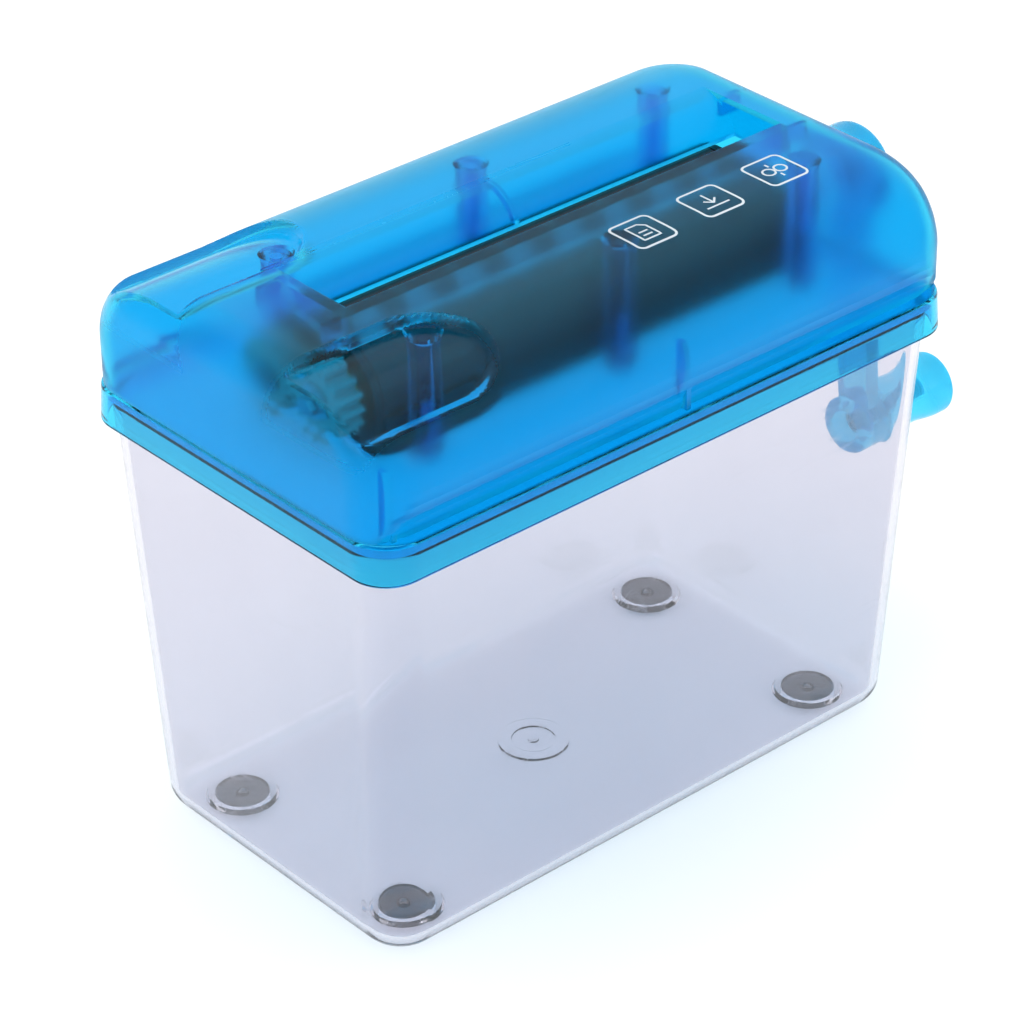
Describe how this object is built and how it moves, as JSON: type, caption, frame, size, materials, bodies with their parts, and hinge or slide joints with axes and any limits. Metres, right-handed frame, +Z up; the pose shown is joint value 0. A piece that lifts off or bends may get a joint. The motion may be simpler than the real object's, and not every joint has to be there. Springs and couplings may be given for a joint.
{
  "type": "hand-crank paper shredder",
  "caption": "Desktop strip-cut paper shredder: translucent head with a feed slot and a side crank, lifting off a clear tapered waste bin on rubber feet.",
  "frame": {"origin": "centre of the whole object's box, at the level the feet stand on", "axes": "+X along the head towards the crank, -Y towards the front, +Z up"},
  "size_m": [0.2116, 0.1022, 0.144],
  "materials": {
    "blue_plastic": "frosted translucent moulding, polished in the finger recesses",
    "clear_plastic": "clear gloss moulding",
    "rubber": "matt",
    "black_plastic": "satin moulding",
    "gear_plastic": "plain moulding",
    "steel": "machined",
    "bronze": "sintered"
  },
  "bodies": {
    "bin": {"bin": "clear_plastic", "foot_1": "rubber", "foot_2": "rubber", "foot_3": "rubber", "foot_4": "rubber"},
    "head": {"top_cover": "blue_plastic", "base_frame": "blue_plastic", "cover_screw_1": "steel", "cover_screw_2": "steel", "cover_screw_3": "steel", "cover_screw_4": "steel", "cover_screw_5": "steel", "cover_screw_6": "steel", "left_plate": "steel", "right_plate": "steel", "bush_1": "bronze", "bush_2": "bronze", "bush_3": "bronze", "bush_4": "bronze", "front_comb": "black_plastic", "rear_comb": "black_plastic"},
    "drive": {"drive_shaft": "steel", "drive_cutter_1": "steel", "drive_cutter_2": "steel", "drive_cutter_3": "steel", "drive_cutter_4": "steel", "drive_cutter_5": "steel", "drive_cutter_6": "steel", "drive_cutter_7": "steel", "drive_cutter_8": "steel", "drive_gear": "gear_plastic", "clip_1": "steel", "crank_arm": "blue_plastic", "crank_screw": "steel", "knob_pin": "steel"},
    "driven": {"driven_shaft": "steel", "driven_cutter_1": "steel", "driven_cutter_2": "steel", "driven_cutter_3": "steel", "driven_cutter_4": "steel", "driven_cutter_5": "steel", "driven_cutter_6": "steel", "driven_cutter_7": "steel", "driven_cutter_8": "steel", "driven_gear": "gear_plastic", "clip_2": "steel", "clip_3": "steel"},
    "handle": {"knob_grip": "blue_plastic"}
  },
  "joints": [
    {"name": "head_lift", "type": "slide", "parent": "bin", "child": "head", "axis": [0, 0, 1], "range_m": [0, 0.1]},
    {"name": "drive_spin", "type": "hinge", "parent": "head", "child": "drive", "pos_m": [0, -0.0076, 0.1243], "axis": [1, 0, 0], "continuous": true},
    {"name": "driven_spin", "type": "hinge", "parent": "head", "child": "driven", "pos_m": [0, 0.0084, 0.1243], "axis": [1, 0, 0], "continuous": true},
    {"name": "handle_spin", "type": "hinge", "parent": "drive", "child": "handle", "pos_m": [0.0942, -0.0076, 0.0551], "axis": [1, 0, 0], "continuous": true}
  ],
  "couplings": [
    {"joint": "driven_spin", "follows": "drive_spin", "ratio": -1}
  ]
}
